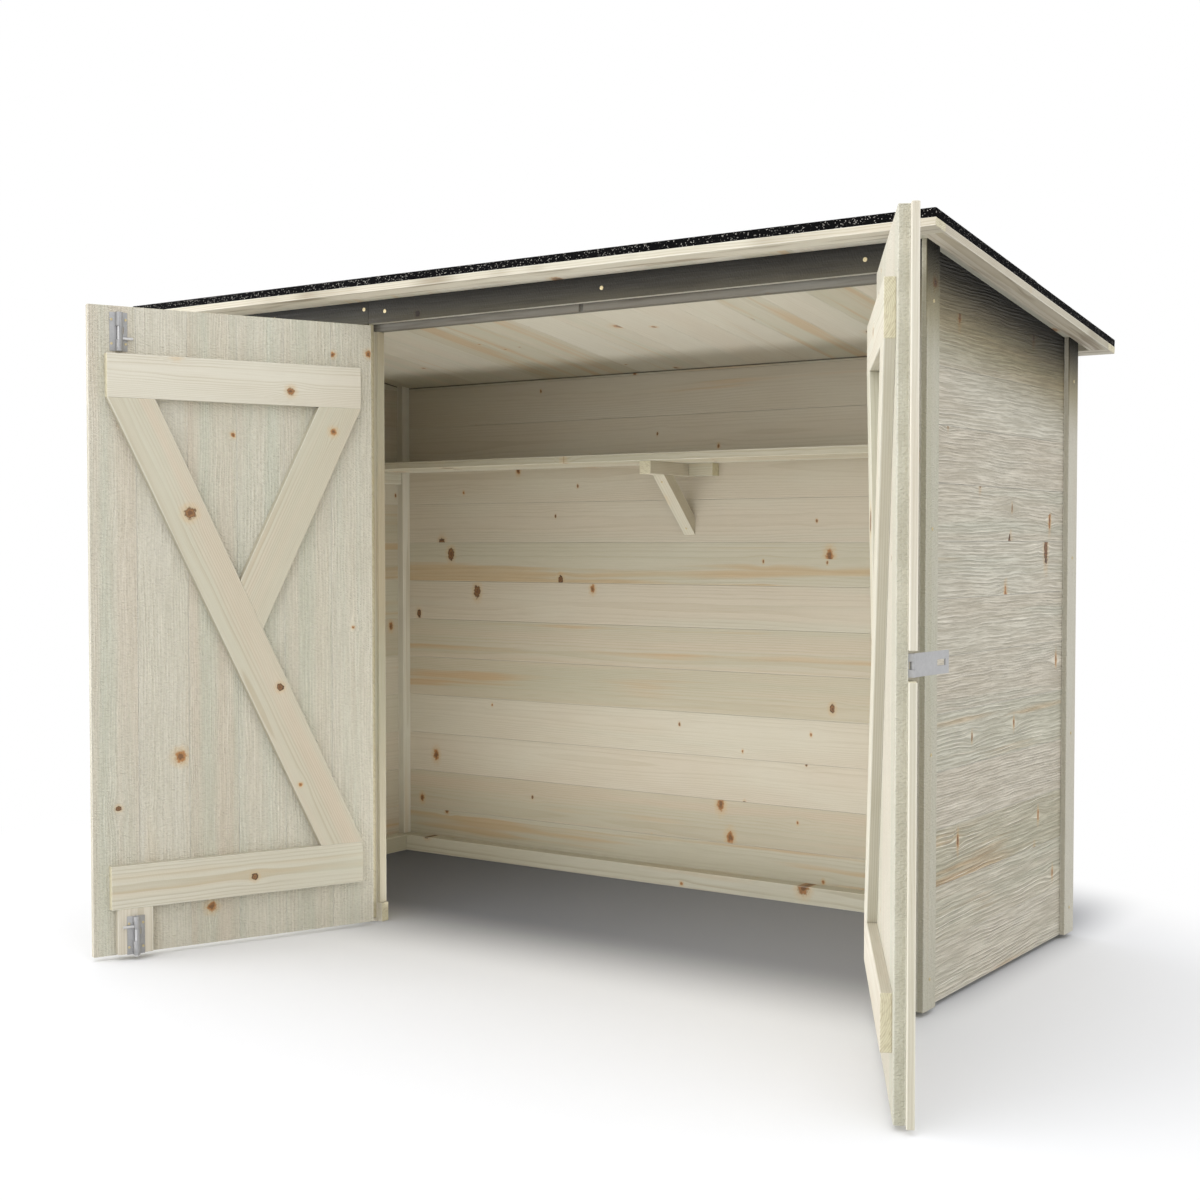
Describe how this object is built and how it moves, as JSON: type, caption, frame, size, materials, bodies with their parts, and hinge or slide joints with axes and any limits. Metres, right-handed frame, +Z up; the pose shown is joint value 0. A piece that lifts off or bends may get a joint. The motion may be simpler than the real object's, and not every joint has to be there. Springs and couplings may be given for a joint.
{
  "type": "bike shelter",
  "caption": "Timber lean-to bike shelter of horizontal boards: felted pent roof, ledged and braced double doors with hasp and bolts, fixed front panel, back shelf, open ground inside.",
  "frame": {"origin": "middle of the back sole plate's underside, on the ground", "axes": "+X to the right seen from the doors, along the long front; +Y from the doors to the back wall; +Z up"},
  "size_m": [2.3964, 1.5349, 1.519],
  "materials": {
    "softwood": "sawn, pale green-grey preservative",
    "mineral_felt": "black bitumen felt with fine mineral grit",
    "zinc_steel": "zinc plated, satin"
  },
  "bodies": {
    "shelter": {"back_wall": "softwood", "left_wall": "softwood", "right_wall": "softwood", "front_panel": "softwood", "panel_header": "softwood", "door_lintel": "softwood", "right_stile": "softwood", "stop_beam": "softwood", "right_door_post": "softwood", "front_panel_posts": "softwood", "back_corner_posts": "softwood", "back_sole_plate": "softwood", "side_sole_plates": "softwood", "front_sole_plate": "softwood", "corner_trims": "softwood", "roof_boards": "softwood", "roof_felt": "mineral_felt", "roof_eaves_battens": "softwood", "roof_verge_battens": "softwood", "shelf": "softwood", "shelf_bearers": "softwood", "bracket_cleat": "softwood", "bracket_arm": "softwood", "bracket_brace": "softwood", "left_hinge_plates": "zinc_steel", "right_hinge_plates": "zinc_steel"},
    "left_door": {"left_door_boards": "softwood", "left_door_ledges": "softwood", "left_long_brace": "softwood", "left_short_brace": "softwood", "bolt_block": "softwood", "left_hinge_straps": "zinc_steel", "top_bolt_case": "zinc_steel", "bottom_bolt_case": "zinc_steel", "hasp_staple": "zinc_steel"},
    "top_bolt": {"top_bolt_rod": "zinc_steel"},
    "bottom_bolt": {"bottom_bolt_rod": "zinc_steel"},
    "right_door": {"right_door_boards": "softwood", "right_door_ledges": "softwood", "right_long_brace": "softwood", "right_short_brace": "softwood", "cover_strips": "softwood", "right_hinge_straps": "zinc_steel", "hasp_base": "zinc_steel"},
    "hasp": {"hasp_leaf": "zinc_steel"}
  },
  "joints": [
    {"name": "left_door_hinge", "type": "hinge", "parent": "shelter", "child": "left_door", "pos_m": [-0.3845, -0.805, 0.716], "axis": [0, 0, -1], "range_deg": [-112.5, 57.5]},
    {"name": "right_door_hinge", "type": "hinge", "parent": "shelter", "child": "right_door", "pos_m": [0.9605, -0.805, 0.716], "axis": [0, 0, 1], "range_deg": [-118.3, 51.7]},
    {"name": "top_bolt_slide", "type": "slide", "parent": "left_door", "child": "top_bolt", "axis": [0, 0, 1], "range_m": [0, 0.025]},
    {"name": "bottom_bolt_slide", "type": "slide", "parent": "left_door", "child": "bottom_bolt", "axis": [0, 0, -1], "range_m": [0, 0.025]},
    {"name": "hasp_hinge", "type": "hinge", "parent": "right_door", "child": "hasp", "pos_m": [1.2737, -1.37971, 0.721], "axis": [0, 0, 1], "range_deg": [-149, 20]}
  ]
}
